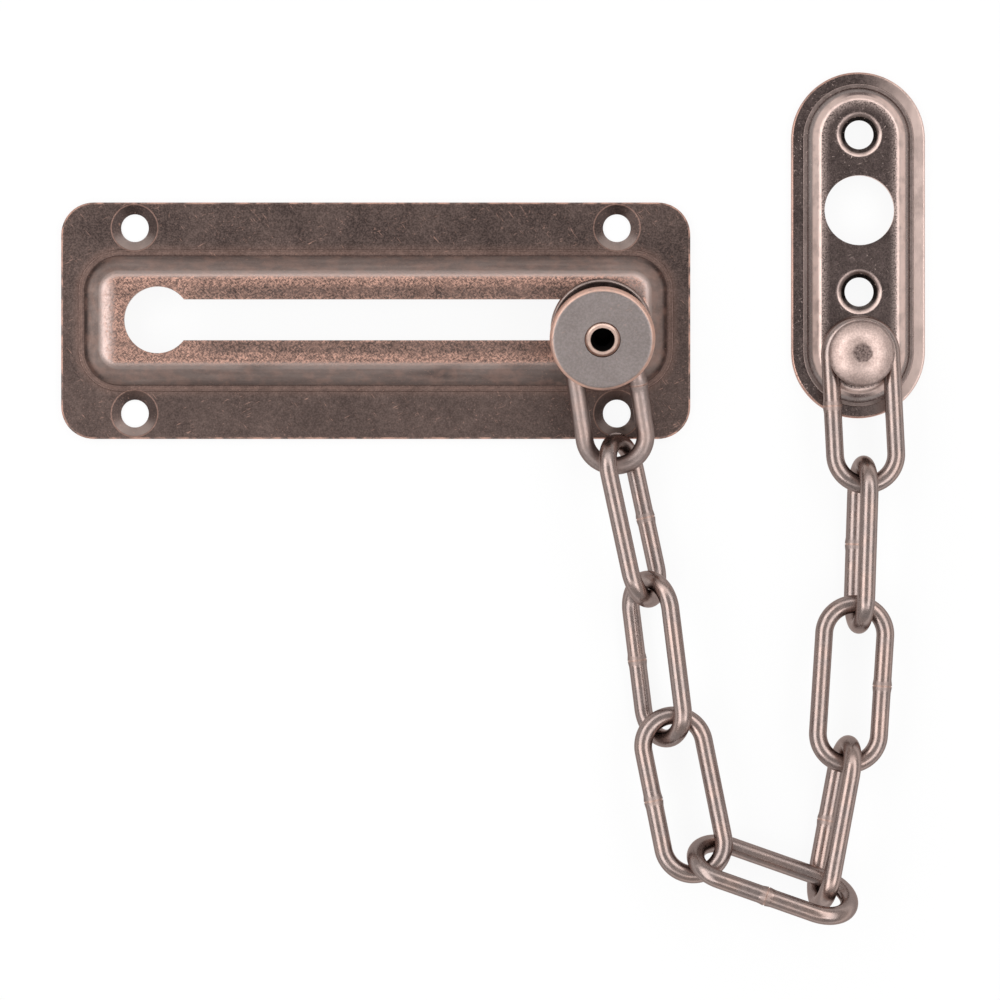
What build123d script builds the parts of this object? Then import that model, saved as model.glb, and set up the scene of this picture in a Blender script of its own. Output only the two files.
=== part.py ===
# Door chain: a stamped track plate with a keyhole slot, a button that slides in it, nine wire links
# and a stamped keeper plate with a stud. Millimetres.
# The part lies on its back: +Z leaves the door face, +X runs along the slot, +Y is up on the door.
# The origin is the middle of the track plate's back face.

import math
import os

from build123d import *

os.makedirs("parts", exist_ok=True)

# Sheet and clearances
sheet = 1.5
rim_round = 0.4
coin_width = 0.8
coin_height = 0.3
coin_round = 0.2
seat_clearance = 0.05
chain_clearance = 0.2

# Track plate
track_length = 120.0
track_width = 45.1
track_corner = 6.2
channel_length = 111.8
channel_width = 25.4
channel_corner = 7.2
channel_height = 6.0
channel_lean = 4.2
crest_round = 3.0
slot_width = 7.8
slot_inset = 13.0
keyhole_diameter = 12.7
keyhole_inset = 14.6
screw_spacing_x = 92.0
screw_spacing_y = 35.4
screw_hole = 5.3
screw_sink = 8.9
sink_angle = 115.0

# Button
button_tilt = 15.0
disc_diameter = 19.8
disc_thickness = 2.4
disc_round = 1.0
flange_diameter = 19.3
flange_thickness = 1.8
flange_round = 0.5
link_gap = 6.0
neck_diameter = 5.2
core_diameter = 4.0
bore_diameter = 3.0
bore_depth = 8.0
mouth_diameter = 4.6
lip_diameter = 6.6
lip_height = 1.1
lip_crown = 0.5
lip_pocket = 6.8
head_diameter = 11.0
head_thickness = 1.4

# Chain
link_length = 33.8
link_width = 15.0
wire = 3.4
seam_gap = 0.2
seam_collar = 1.4
seam_upset = 0.16
seam_run_out = 0.03

# Keeper plate and stud
keeper_length = 66.0
keeper_width = 25.5
keeper_height = 4.5
keeper_rim = 2.7
keeper_coin = 0.5
keeper_lean = 2.5
keeper_round = 1.5
keeper_end_inset = 12.1
keeper_screw_low = -9.0
keeper_screw_hole = 5.5
keeper_screw_sink = 8.0
keeper_sink_angle = 90.0
keeper_sink_round = 1.4
keeper_hole = 13.3
keeper_hole_y = 6.5
stud_head = 12.5
stud_head_edge = 0.9
stud_head_height = 3.0
stud_crown = 0.45
stud_tip = 3.6
stud_neck = 6.4
stud_play = 0.5
stud_gap = 4.6
stud_shank = 5.0
stud_tail = 8.0
stud_tail_height = 1.1

# How each link lies, from the button to the keeper: the way it points, its rise along its length,
# its turn about its own length, its height over the table in wires, the side with the seam,
# and how far it reaches back into the link before it, along and across that link, in wires.
link_headings = (-81.5, -77.9, -82.9, -78.7, -19.1, 79.5, 86.4, 88.2, 92.9)
link_slopes = (0.0, 1.5, -1.5, 2.5, 5.0, 0.0, 0.0, 0.0, 0.0)
link_rolls = (0.0, -63.0, 52.0, -2.0, -58.0, -80.0, 0.0, -82.0, 0.0)
link_lifts = (0.0, 0.02, 0.1, 1.55, 0.73, 0.02, 1.4, 0.02, 0.0)
link_seams = (1, 1, -1, -1, -1, 1, -1, 1, 1)
link_reaches = (
    (0.0, 0.0),
    (1.11, 0.0),
    (1.07, -0.08),
    (1.13, -0.19),
    (1.22, -0.06),
    (1.43, 0.36),
    (1.14, 0.11),
    (1.10, 0.15),
    (1.12, 0.25),
)

# Sizes that follow
wire_radius = wire / 2
bend_radius = (link_width - wire) / 2
link_reach = (link_length - wire) / 2
half_straight = link_reach - bend_radius
slot_end = channel_length / 2 - slot_inset
keyhole_x = keyhole_inset - channel_length / 2
collar_taper = math.degrees(math.atan2(seam_upset + seam_run_out, seam_collar))
keeper_screw_top = keeper_length / 2 - keeper_end_inset
stud_y = keeper_end_inset - keeper_length / 2


def cavity_insets(height, lean):
    """How far the inside of a drawn wall stands in from its foot, at the back face and at the ceiling.

    Args:
        height: the drawn height, from the back face to the crest.
        lean: how far the wall leans in on its way up.

    Returns:
        The inset at the back face and the inset at the ceiling.
    """
    rise = height - sheet
    shift = sheet * math.hypot(rise, lean) / rise
    low = shift - lean * sheet / rise
    top = shift + lean * (rise - sheet) / rise
    return low, top


def link_frame(centre, heading, slope, roll):
    """The plane that a link lies in: X along the link, Y across it.

    Args:
        centre: the middle of the link.
        heading: the way it points, in degrees from +X towards +Y.
        slope: its rise along its length, in degrees.
        roll: its turn about its own length, in degrees, positive with the left side up.

    Returns:
        The plane.
    """
    turn = math.radians(heading)
    rise = math.radians(slope)
    lay = math.radians(roll)
    along = Vector(math.cos(turn) * math.cos(rise), math.sin(turn) * math.cos(rise), math.sin(rise))
    left = Vector(-math.sin(turn), math.cos(turn), 0)
    across = left * math.cos(lay) + along.cross(left) * math.sin(lay)
    return Plane(origin=centre, x_dir=along, z_dir=along.cross(across))


def centreline_points(frame, steps=24):
    """Points along the middle of a link's wire.

    Args:
        frame: the link's plane.
        steps: how many points each bend and each side has.

    Returns:
        A list of coordinates.
    """
    local = []
    for end in (1, -1):
        for step in range(steps):
            angle = math.pi * (step / steps - 0.5)
            across = bend_radius * math.sin(angle)
            local.append((end * (half_straight + bend_radius * math.cos(angle)), end * across))
            local.append((half_straight * (1 - 2 * step / steps), end * bend_radius))
    return [tuple(frame.from_local_coords((x, y, 0))) for x, y in local]


def wires_clear(frame, other):
    """Whether the wires of two links stay clear of each other.

    Args:
        frame: the plane of one link.
        other: the plane of the other link.

    Returns:
        True where they are apart by the chain's clearance.
    """
    points = centreline_points(other)
    nearest = min(math.dist(p, q) for p in centreline_points(frame) for q in points)
    return nearest >= wire + chain_clearance


def rest_height(frame, lift):
    """How high the middle of a link lies over the table.

    Args:
        frame: the link's plane.
        lift: the room under its lowest point, in wires.

    Returns:
        The height.
    """
    bend_drop = bend_radius * math.hypot(frame.x_dir.Z, frame.y_dir.Z)
    return wire * lift + wire_radius + abs(frame.x_dir.Z) * half_straight + bend_drop


def hooked_frame(previous, number, height=None):
    """The plane of the next link, drawn back into the one before it until the wires just clear.

    Args:
        previous: the plane of the link before it.
        number: which link it is, counted from 0.
        height: the height of its middle, or None where it lies over the table by its lift.

    Returns:
        The plane.
    """
    lie = (link_headings[number], link_slopes[number], link_rolls[number])
    free = link_frame((0, 0, 0), *lie)
    if height is None:
        height = rest_height(free, link_lifts[number])
    ahead = Vector(previous.x_dir.X, previous.x_dir.Y, 0).normalized()
    left = Vector(-ahead.Y, ahead.X, 0)
    along, across = link_reaches[number]
    back = (ahead * along + left * across) * wire
    end = previous.origin + previous.x_dir * link_reach
    for step in range(90, 200):
        centre = end - back * (step / 100) + free.x_dir * link_reach
        frame = link_frame((centre.X, centre.Y, height), *lie)
        if wires_clear(previous, frame):
            break
    return frame


# Track plate: flat rim, coined line, drawn channel, cavity, slot and screw holes
channel_low, channel_top = cavity_insets(channel_height, channel_lean)
with BuildPart() as track_plate:
    with BuildSketch():
        RectangleRounded(track_length, track_width, track_corner)
    extrude(amount=sheet)
    fillet(track_plate.edges().group_by(Axis.Z)[-1], rim_round)
    with BuildSketch(Plane.XY.offset(sheet)):
        RectangleRounded(
            channel_length + 2 * coin_width,
            channel_width + 2 * coin_width,
            channel_corner + coin_width,
        )
    extrude(amount=coin_height)
    fillet(track_plate.edges().group_by(Axis.Z)[-1], coin_round)
    with BuildSketch(Plane.XY.offset(sheet)):
        RectangleRounded(channel_length, channel_width, channel_corner)
    with BuildSketch(Plane.XY.offset(channel_height)):
        RectangleRounded(
            channel_length - 2 * channel_lean,
            channel_width - 2 * channel_lean,
            channel_corner - channel_lean,
        )
    loft(ruled=True)
    fillet(track_plate.edges().group_by(Axis.Z)[-1], crest_round)
    with BuildSketch():
        RectangleRounded(
            channel_length - 2 * channel_low,
            channel_width - 2 * channel_low,
            channel_corner - channel_low,
        )
    with BuildSketch(Plane.XY.offset(channel_height - sheet)):
        RectangleRounded(
            channel_length - 2 * channel_top,
            channel_width - 2 * channel_top,
            channel_corner - channel_top,
        )
    loft(ruled=True, mode=Mode.SUBTRACT)
    with BuildSketch(Plane.XY.offset(channel_height)):
        with Locations((keyhole_x, 0)):
            Circle(keyhole_diameter / 2)
        with Locations(((keyhole_x + slot_end) / 2, 0)):
            SlotCenterToCenter(slot_end - keyhole_x, slot_width)
    extrude(amount=-2 * sheet, mode=Mode.SUBTRACT)
    with Locations(Plane.XY.offset(sheet)):
        with GridLocations(screw_spacing_x, screw_spacing_y, 2, 2):
            CounterSinkHole(screw_hole / 2, screw_sink / 2, counter_sink_angle=sink_angle)
track_plate.part.label = "track_plate"
export_step(track_plate.part, "parts/track_plate.step")

# Button: it leans down the door, so its flange bears on the crest and its head on the channel's ceiling
tilt = math.radians(button_tilt)
lean_out = Vector(0, -math.sin(tilt), math.cos(tilt))
neck_room = neck_diameter / 2 / math.cos(tilt) + sheet / 2 * math.tan(tilt)
button_x = slot_end
button_y = neck_room + seat_clearance - slot_width / 2
button_foot = Vector(button_x, button_y, channel_height - sheet / 2)
wall_angle = math.atan2(channel_height - sheet, channel_lean)
crest_flat = channel_width / 2 - channel_lean - crest_round * math.tan(wall_angle / 2)
crest_touch = Vector(
    button_x,
    -crest_flat - crest_round * math.sin(tilt),
    channel_height - crest_round * (1 - math.cos(tilt)),
)
flange_seat = button_foot + lean_out * (lean_out.dot(crest_touch - button_foot) + seat_clearance)
ceiling = channel_height - sheet - seat_clearance
head_depth = (flange_seat.Z + head_diameter / 2 * math.sin(tilt) - ceiling) / math.cos(tilt)
button_section = Plane(origin=flange_seat, x_dir=(1, 0, 0), z_dir=Vector(1, 0, 0).cross(lean_out))
button_axis = Axis(flange_seat, lean_out)
disc_back = flange_thickness + link_gap
disc_face = disc_back + disc_thickness

with BuildPart() as button_flange:
    with BuildSketch(button_section):
        with BuildLine():
            Polyline(
                (core_diameter / 2 + seat_clearance, 0),
                (flange_diameter / 2, 0),
                (flange_diameter / 2, flange_thickness),
                (core_diameter / 2 + seat_clearance, flange_thickness),
                close=True,
            )
        make_face()
    revolve(axis=button_axis)
    rims = button_flange.edges().filter_by(GeomType.CIRCLE).group_by(SortBy.RADIUS)[-1]
    fillet(rims, flange_round)
button_flange.part.label = "button_flange"
export_step(button_flange.part, "parts/button_flange.step")

with BuildPart() as button_sleeve:
    with BuildSketch(button_section):
        with BuildLine():
            Polyline(
                (core_diameter / 2 + seat_clearance, flange_thickness),
                (neck_diameter / 2, flange_thickness),
                (neck_diameter / 2, disc_back),
                (core_diameter / 2 + seat_clearance, disc_back),
                close=True,
            )
        make_face()
    revolve(axis=button_axis)
button_sleeve.part.label = "button_sleeve"
export_step(button_sleeve.part, "parts/button_sleeve.step")

with BuildPart() as button_disc:
    with BuildSketch(button_section):
        with BuildLine():
            Polyline(
                (core_diameter / 2 + seat_clearance, disc_back),
                (disc_diameter / 2, disc_back),
                (disc_diameter / 2, disc_face),
                (lip_pocket / 2, disc_face),
                (lip_pocket / 2, disc_face - lip_height),
                (core_diameter / 2 + seat_clearance, disc_face - lip_height),
                close=True,
            )
        make_face()
    revolve(axis=button_axis)
    rims = button_disc.edges().filter_by(GeomType.CIRCLE).group_by(SortBy.RADIUS)[-1]
    fillet(rims, disc_round)
button_disc.part.label = "button_disc"
export_step(button_disc.part, "parts/button_disc.step")

# Hollow rivet: rear head, shoulder in the slot, core through the stack
# and a rolled lip in the disc's pocket
with BuildPart() as button_rivet:
    with BuildSketch(button_section):
        with BuildLine():
            Polyline(
                (0, -head_depth - head_thickness),
                (head_diameter / 2, -head_depth - head_thickness),
                (head_diameter / 2, -head_depth),
                (neck_diameter / 2, -head_depth),
                (neck_diameter / 2, 0),
                (core_diameter / 2, 0),
                (core_diameter / 2, disc_face - lip_height),
                (lip_diameter / 2, disc_face - lip_height),
                (lip_diameter / 2, disc_face - lip_height / 3),
                (mouth_diameter / 2 + lip_crown, disc_face),
                (mouth_diameter / 2, disc_face),
                (bore_diameter / 2, disc_face - lip_height),
                (bore_diameter / 2, disc_face - bore_depth),
                (0, disc_face - bore_depth),
                close=True,
            )
        make_face()
    revolve(axis=button_axis)
button_rivet.part.label = "button_rivet"
export_step(button_rivet.part, "parts/button_rivet.step")

# Chain: link 1 lies across the leaning button, each later link hooks into the one before it
first_turn = math.radians(link_headings[0])
first_level = Vector(math.cos(first_turn), math.sin(first_turn), 0)
first_along = (first_level - lean_out * first_level.dot(lean_out)).normalized()
neck_middle = flange_seat + lean_out * (flange_thickness + link_gap / 2)
first_back = neck_diameter / 2 + wire_radius + chain_clearance
first_play = (link_width - 2 * wire - neck_diameter) / 2 - 5 * chain_clearance
first_side = lean_out.cross(first_along) * first_play
first_centre = neck_middle + first_along * (link_reach - first_back) - first_side
stud_height = keeper_height + stud_gap / 2
last_number = len(link_headings) - 1
link_frames = [Plane(origin=first_centre, x_dir=first_along, z_dir=lean_out)]
for number in range(1, last_number):
    link_frames.append(hooked_frame(link_frames[-1], number))
link_frames.append(hooked_frame(link_frames[-1], last_number, stud_height))

for number, frame in enumerate(link_frames):
    seam_y = link_seams[number] * bend_radius
    seam_middle = frame.from_local_coords((0, seam_y, 0))
    with BuildPart() as chain_link:
        with BuildLine(frame) as centreline:
            Line((0, seam_y), (half_straight, seam_y))
            ThreePointArc((half_straight, seam_y), (link_reach, 0), (half_straight, -seam_y))
            Line((half_straight, -seam_y), (-half_straight, -seam_y))
            ThreePointArc((-half_straight, -seam_y), (-link_reach, 0), (-half_straight, seam_y))
            Line((-half_straight, seam_y), (0, seam_y))
        with BuildSketch(Plane(origin=seam_middle, z_dir=frame.x_dir)):
            Circle(wire_radius)
        sweep(path=centreline.line)
        for side in (1, -1):
            collar_start = seam_middle + frame.x_dir * (side * seam_gap / 2)
            with BuildSketch(Plane(origin=collar_start, z_dir=frame.x_dir * side)):
                Circle(wire_radius + seam_upset)
            extrude(amount=seam_collar, taper=collar_taper)
    chain_link.part.label = f"chain_link_{number + 1}"
    export_step(chain_link.part, f"parts/chain_link_{number + 1}.step")

# Keeper plate: stepped rim, drawn body, two screw holes, the large hole and the stud's hole
stud_spot = link_frames[-1].origin + link_frames[-1].x_dir * (
    link_reach - stud_neck / 2 - wire_radius - chain_clearance - stud_play
)
keeper_plane = Plane(origin=(stud_spot.X, stud_spot.Y - stud_y, 0))
body_length = keeper_length - 2 * keeper_rim
body_width = keeper_width - 2 * keeper_rim
keeper_low, keeper_top = cavity_insets(keeper_height, keeper_lean)
with BuildPart() as keeper_plate:
    with BuildSketch(keeper_plane):
        SlotOverall(keeper_length, keeper_width, rotation=90)
    extrude(amount=sheet)
    fillet(keeper_plate.edges().group_by(Axis.Z)[-1], rim_round)
    with BuildSketch(keeper_plane.offset(sheet)):
        SlotOverall(body_length + 2 * keeper_coin, body_width + 2 * keeper_coin, rotation=90)
    extrude(amount=coin_height)
    fillet(keeper_plate.edges().group_by(Axis.Z)[-1], coin_round)
    with BuildSketch(keeper_plane.offset(sheet)):
        SlotOverall(body_length, body_width, rotation=90)
    with BuildSketch(keeper_plane.offset(keeper_height)):
        SlotOverall(body_length - 2 * keeper_lean, body_width - 2 * keeper_lean, rotation=90)
    loft(ruled=True)
    fillet(keeper_plate.edges().group_by(Axis.Z)[-1], keeper_round)
    with BuildSketch(keeper_plane):
        SlotOverall(body_length - 2 * keeper_low, body_width - 2 * keeper_low, rotation=90)
    with BuildSketch(keeper_plane.offset(keeper_height - sheet)):
        SlotOverall(body_length - 2 * keeper_top, body_width - 2 * keeper_top, rotation=90)
    loft(ruled=True, mode=Mode.SUBTRACT)
    with Locations(keeper_plane.offset(keeper_height)):
        with Locations((0, keeper_screw_top), (0, keeper_screw_low)):
            CounterSinkHole(
                keeper_screw_hole / 2,
                keeper_screw_sink / 2,
                counter_sink_angle=keeper_sink_angle,
            )
    crest_rings = keeper_plate.edges().filter_by(GeomType.CIRCLE).group_by(Axis.Z)[-1]
    fillet(crest_rings.group_by(SortBy.RADIUS)[0], keeper_sink_round)
    with Locations(keeper_plane.offset(keeper_height)):
        with Locations((0, keeper_hole_y)):
            Hole(keeper_hole / 2)
        with Locations((0, stud_y)):
            Hole(stud_shank / 2 + seat_clearance)
keeper_plate.part.label = "keeper_plate"
export_step(keeper_plate.part, "parts/keeper_plate.step")

# Stud: shank through the plate, peened tail behind it, neck for the last link and a low domed head
stud_section = Plane(origin=(stud_spot.X, stud_spot.Y, 0), x_dir=(1, 0, 0), z_dir=(0, -1, 0))
head_back = keeper_height + stud_gap
ceiling_height = keeper_height - sheet
dome_foot = (stud_head / 2, head_back + stud_head_edge)
dome_tip = (stud_tip / 2, head_back + stud_head_height)
dome_middle = (
    (dome_foot[0] + dome_tip[0]) / 2,
    (dome_foot[1] + dome_tip[1]) / 2 + stud_crown,
)
with BuildPart() as keeper_stud:
    with BuildSketch(stud_section):
        with BuildLine():
            ThreePointArc(dome_foot, dome_middle, dome_tip)
            Polyline(
                dome_tip,
                (0, head_back + stud_head_height),
                (0, ceiling_height - stud_tail_height),
                (stud_tail / 2, ceiling_height - stud_tail_height),
                (stud_tail / 2, ceiling_height),
                (stud_shank / 2, ceiling_height),
                (stud_shank / 2, keeper_height),
                (stud_neck / 2, keeper_height),
                (stud_neck / 2, head_back),
                (stud_head / 2, head_back),
                dome_foot,
            )
        make_face()
    revolve(axis=Axis((stud_spot.X, stud_spot.Y, 0), (0, 0, 1)))
    shoulders = keeper_stud.edges().filter_by(GeomType.CIRCLE).filter_by_position(
        Axis.Z, head_back, head_back + stud_head_edge
    )
    fillet(shoulders.group_by(SortBy.RADIUS)[-1], stud_head_edge / 3)
keeper_stud.part.label = "keeper_stud"
export_step(keeper_stud.part, "parts/keeper_stud.step")
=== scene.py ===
"""Door chain in antique copper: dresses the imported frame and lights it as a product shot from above.

Every length is in metres, in the frame of the part: +Z leaves the door face, +X runs along the slot.
"""

from __future__ import annotations

import logging
import math
from collections import defaultdict
from dataclasses import dataclass, field, replace
from enum import Enum

import bpy
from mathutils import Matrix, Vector


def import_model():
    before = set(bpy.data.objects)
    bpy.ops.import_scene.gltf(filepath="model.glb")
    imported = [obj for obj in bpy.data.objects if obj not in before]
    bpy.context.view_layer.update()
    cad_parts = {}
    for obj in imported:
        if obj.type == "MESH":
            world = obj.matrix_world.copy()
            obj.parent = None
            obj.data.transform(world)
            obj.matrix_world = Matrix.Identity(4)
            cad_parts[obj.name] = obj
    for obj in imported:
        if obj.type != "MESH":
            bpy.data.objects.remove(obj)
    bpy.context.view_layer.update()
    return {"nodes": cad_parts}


LOG = logging.getLogger("door_chain")
MM = 0.001
OUTWARD = Vector((0.0, 0.0, 1.0))  # out of the door face
LEVEL = (1.0, 1.0, 0.0)  # leaves X and Y of a vector
FRONT = (-0.6, -0.3)  # the Z of a normal: below the first it faces the door, above the second it does not
NOISE_ROUGHNESS = 0.6

Colour = tuple[float, float, float]
Pair = tuple[float, float]  # two sizes, or where a soft step starts and ends
Band = tuple[float, float, float]  # where a stretch starts and ends, and how wide its soft edges are
Socket = bpy.types.NodeSocket


class Sum(Enum):
    """Sums that the node trees use, by the name that Blender gives them."""

    ADD = "ADD"
    LESS = "SUBTRACT"
    TIMES = "MULTIPLY"
    MOST = "MAXIMUM"
    LEAST = "MINIMUM"
    SIZE = "ABSOLUTE"
    DOT = "DOT_PRODUCT"
    LENGTH = "LENGTH"


class Lay(Enum):
    """How long the blots of a grain are along X, Y and Z, before any turn."""

    EVEN = (1.0, 1.0, 1.0)
    HAIR = (3.0, 1.0, 1.0)
    LINE = (9.0, 1.0, 1.0)


@dataclass(frozen=True)
class Blots:
    """A noise of some size and detail: its values from low to high are mapped to the two ends."""

    size: float
    detail: float
    low: float
    high: float
    ends: Pair = (0.0, 1.0)
    lay: Lay = Lay.EVEN
    turn: float = 0.0


class Graph:
    """A node tree with short calls for the nodes that the finishes share."""

    def __init__(self, tree: bpy.types.NodeTree) -> None:
        """Starts from an empty tree.

        Args:
            tree: the tree to fill.
        """
        self.tree = tree
        tree.nodes.clear()

    def node(self, kind: str, **settings: object) -> bpy.types.Node:
        """Adds a node.

        Args:
            kind: the node's type name.
            **settings: attributes to set on it.

        Returns:
            The node.
        """
        made = self.tree.nodes.new(kind)
        for key, value in settings.items():
            setattr(made, key, value)
        return made

    def link(self, source: Socket, target: Socket) -> None:
        """Joins an output to an input."""
        self.tree.links.new(source, target)

    def feed(self, target: Socket, value: object) -> None:
        """Puts a socket or a plain value into an input.

        Args:
            target: the input.
            value: an output socket, a number or a tuple.
        """
        if isinstance(value, bpy.types.NodeSocket):
            self.link(value, target)
        else:
            target.default_value = value

    def parts(self, vector: Socket) -> tuple[Socket, Socket, Socket]:
        """Splits a vector.

        Args:
            vector: what is split.

        Returns:
            Its three components.
        """
        made = self.node("ShaderNodeSeparateXYZ")
        self.link(vector, made.inputs["Vector"])
        return made.outputs["X"], made.outputs["Y"], made.outputs["Z"]

    def vector(self, work: Sum, first: Socket, second: object = None) -> Socket:
        """Works out vectors.

        Args:
            work: the sum.
            first: the first vector.
            second: the second one, where the sum takes two.

        Returns:
            A vector, or a number for a length or a dot product.
        """
        made = self.node("ShaderNodeVectorMath", operation=work.value)
        self.link(first, made.inputs[0])
        if second is not None:
            self.feed(made.inputs[1], second)
        return made.outputs["Value" if work in (Sum.LENGTH, Sum.DOT) else "Vector"]

    def number(self, work: Sum, first: object, second: object = 0.0, held: bool = False) -> Socket:
        """Works out numbers.

        Args:
            work: the sum.
            first: a socket or a number.
            second: a socket or a number.
            held: whether the result is held between 0 and 1.

        Returns:
            The result.
        """
        made = self.node("ShaderNodeMath", operation=work.value, use_clamp=held)
        self.feed(made.inputs[0], first)
        self.feed(made.inputs[1], second)
        return made.outputs["Value"]

    def noise(
        self, vector: Socket, size: float, detail: float = 3.0, lay: Lay = Lay.EVEN, turn: float = 0.0
    ) -> Socket:
        """Cloudy noise.

        Args:
            vector: the coordinate.
            size: the size of its largest blots, in metres.
            detail: how many finer layers it has.
            lay: the way that its grain runs.
            turn: a turn of the grain about Z, in degrees.

        Returns:
            The noise, around 0.5.
        """
        if lay is not Lay.EVEN or turn:
            placed = self.node("ShaderNodeMapping", vector_type="TEXTURE")
            self.link(vector, placed.inputs["Vector"])
            placed.inputs["Rotation"].default_value = (0.0, 0.0, math.radians(turn))
            placed.inputs["Scale"].default_value = lay.value
            vector = placed.outputs["Vector"]
        made = self.node("ShaderNodeTexNoise")
        self.link(vector, made.inputs["Vector"])
        made.inputs["Scale"].default_value = 1.0 / size
        made.inputs["Detail"].default_value = detail
        made.inputs["Roughness"].default_value = NOISE_ROUGHNESS
        return made.outputs["Fac"]

    def span(self, value: Socket, low: float, high: float, ends: Pair = (0.0, 1.0)) -> Socket:
        """Maps a stretch of values smoothly to another, and holds it at the ends.

        Args:
            value: what is mapped.
            low: the value that gives the first end.
            high: the value that gives the second end.
            ends: the two ends.

        Returns:
            The mapped value.
        """
        made = self.node("ShaderNodeMapRange", interpolation_type="SMOOTHSTEP")
        self.link(value, made.inputs["Value"])
        made.inputs["From Min"].default_value = low
        made.inputs["From Max"].default_value = high
        made.inputs["To Min"].default_value = ends[0]
        made.inputs["To Max"].default_value = ends[1]
        return made.outputs["Result"]

    def band(self, value: Socket, low: float, high: float, soft: float) -> Socket:
        """A share that is 1 between two values.

        Args:
            value: what is looked at.
            low: where the band starts.
            high: where it ends.
            soft: how wide its edges are.

        Returns:
            The share.
        """
        rise = self.span(value, low - soft, low)
        fall = self.span(value, high, high + soft, (1.0, 0.0))
        return self.number(Sum.TIMES, rise, fall)

    def times(self, *shares: object) -> Socket:
        """Multiplies shares.

        Args:
            *shares: sockets or numbers.

        Returns:
            Their product.
        """
        result = shares[0]
        for share in shares[1:]:
            result = self.number(Sum.TIMES, result, share, held=True)
        return result

    def most(self, *shares: object) -> Socket:
        """The largest of several shares.

        Args:
            *shares: sockets or numbers.

        Returns:
            The largest.
        """
        result = shares[0]
        for share in shares[1:]:
            result = self.number(Sum.MOST, result, share, held=True)
        return result

    def rest(self, share: Socket) -> Socket:
        """What a share leaves of the whole."""
        return self.number(Sum.LESS, 1.0, share, held=True)

    def mix(self, share: Socket, first: object, second: object) -> Socket:
        """Mixes two colours.

        Args:
            share: how much of the second there is.
            first: a socket or a colour.
            second: a socket or a colour.

        Returns:
            The mixed colour.
        """
        made = self.node("ShaderNodeMix", data_type="RGBA")
        self.feed(made.inputs["Factor"], share)
        for name, value in (("A", first), ("B", second)):
            socket = next(s for s in made.inputs if s.name == name and s.type == "RGBA")
            self.feed(socket, (*value, 1.0) if isinstance(value, tuple) else value)
        return next(s for s in made.outputs if s.type == "RGBA")


class Surface:
    """Where a shaded point lies on its piece."""

    def __init__(self, graph: Graph, piece: bpy.types.Object, guide: bpy.types.Object) -> None:
        """Reads the guide's box and sets up the coordinates.

        Args:
            graph: the tree of the finish.
            piece: the piece that is dressed.
            guide: the piece whose box says where the marks lie.
        """
        self.graph = graph
        self.piece = piece
        coordinate = graph.node("ShaderNodeTexCoord")
        self.place = coordinate.outputs["Object"]
        self.x, self.y, self.z = graph.parts(self.place)
        self.aside, self.ahead, self.up = graph.parts(coordinate.outputs["Normal"])
        self.front = graph.span(self.up, *FRONT)
        corners = [vertex.co for vertex in guide.data.vertices]
        self.low = Vector([min(c[axis] for c in corners) for axis in range(3)])
        self.high = Vector([max(c[axis] for c in corners) for axis in range(3)])
        self.middle = (self.low + self.high) / 2

    def blots(self, kind: Blots) -> Socket:
        """Lays a noise over the piece.

        Args:
            kind: the noise and how it is mapped.

        Returns:
            The mapped noise.
        """
        made = self.graph.noise(self.place, kind.size, kind.detail, kind.lay, kind.turn)
        return self.graph.span(made, kind.low, kind.high, kind.ends)

    def outline(self, corner: float, inset: Pair = (0.0, 0.0)) -> Socket:
        """How far a point lies from a rounded outline that is set in from the guide's box.

        Args:
            corner: the radius of the corners.
            inset: how far the outline lies inside the box, along X and Y.

        Returns:
            The distance: 0 on the outline, negative inside.
        """
        graph = self.graph
        half = (self.high - self.low) / 2 - Vector((*inset, 0.0))
        moved = graph.vector(Sum.LESS, self.place, tuple(self.middle))
        level = graph.vector(Sum.TIMES, moved, LEVEL)
        folded = graph.vector(Sum.SIZE, level)
        core = (max(half.x - corner, 0.0), max(half.y - corner, 0.0), 0.0)
        beyond = graph.vector(Sum.LESS, folded, core)
        past = graph.vector(Sum.MOST, beyond, (0.0, 0.0, 0.0))
        return graph.number(Sum.LESS, graph.vector(Sum.LENGTH, past), corner)

    def from_axis(self, point: Vector, way: Vector) -> Socket:
        """How far a point lies from an axis.

        Args:
            point: a point on the axis.
            way: its direction, of length 1.

        Returns:
            The distance.
        """
        graph = self.graph
        moved = graph.vector(Sum.LESS, self.place, tuple(point))
        along = graph.vector(Sum.DOT, moved, tuple(way))
        aside = graph.node("ShaderNodeCombineXYZ")
        for name, share in zip("XYZ", way):
            graph.link(graph.number(Sum.TIMES, along, share), aside.inputs[name])
        return graph.vector(Sum.LENGTH, graph.vector(Sum.LESS, moved, aside.outputs["Vector"]))

    def along(self, point: Vector, way: Vector) -> Socket:
        """How far a point lies from a plane, on either side.

        Args:
            point: a point of the plane.
            way: the plane's normal, of length 1.

        Returns:
            The distance.
        """
        graph = self.graph
        moved = graph.vector(Sum.LESS, self.place, tuple(point))
        return graph.number(Sum.SIZE, graph.vector(Sum.DOT, moved, tuple(way)))


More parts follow.
